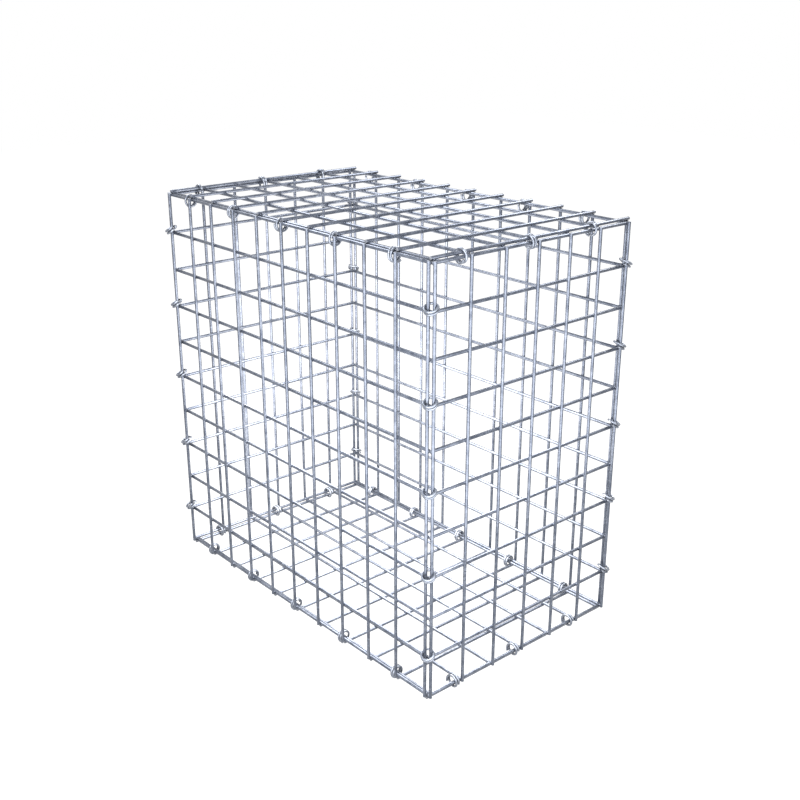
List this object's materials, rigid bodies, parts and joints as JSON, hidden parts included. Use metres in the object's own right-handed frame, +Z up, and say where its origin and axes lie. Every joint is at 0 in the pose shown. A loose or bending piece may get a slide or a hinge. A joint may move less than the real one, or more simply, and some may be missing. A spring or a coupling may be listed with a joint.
{
  "type": "gabion basket",
  "caption": "Free-standing box of welded wire mesh panels laced edge to edge by coiled rings, to be filled with stones.",
  "frame": {"origin": "middle of the footprint, on the floor that the lacing rings of the base stand on", "axes": "+Z up, +X along the long side, the long front side looks along -Y"},
  "size_m": [0.5262, 0.3228, 0.5185],
  "materials": {
    "mesh_wire": "bright galvanised wire, satin",
    "ring_wire": "bright galvanised wire, satin"
  },
  "bodies": {
    "root": {"front_panel": "mesh_wire", "back_panel": "mesh_wire", "left_panel": "mesh_wire", "right_panel": "mesh_wire", "base_panel": "mesh_wire", "lid_panel": "mesh_wire", "lid_front_rings": "ring_wire", "lid_back_rings": "ring_wire", "lid_left_rings": "ring_wire", "lid_right_rings": "ring_wire", "base_front_rings": "ring_wire", "base_back_rings": "ring_wire", "base_left_rings": "ring_wire", "base_right_rings": "ring_wire", "front_right_rings": "ring_wire", "front_left_rings": "ring_wire", "back_right_rings": "ring_wire", "back_left_rings": "ring_wire"}
  },
  "joints": []
}
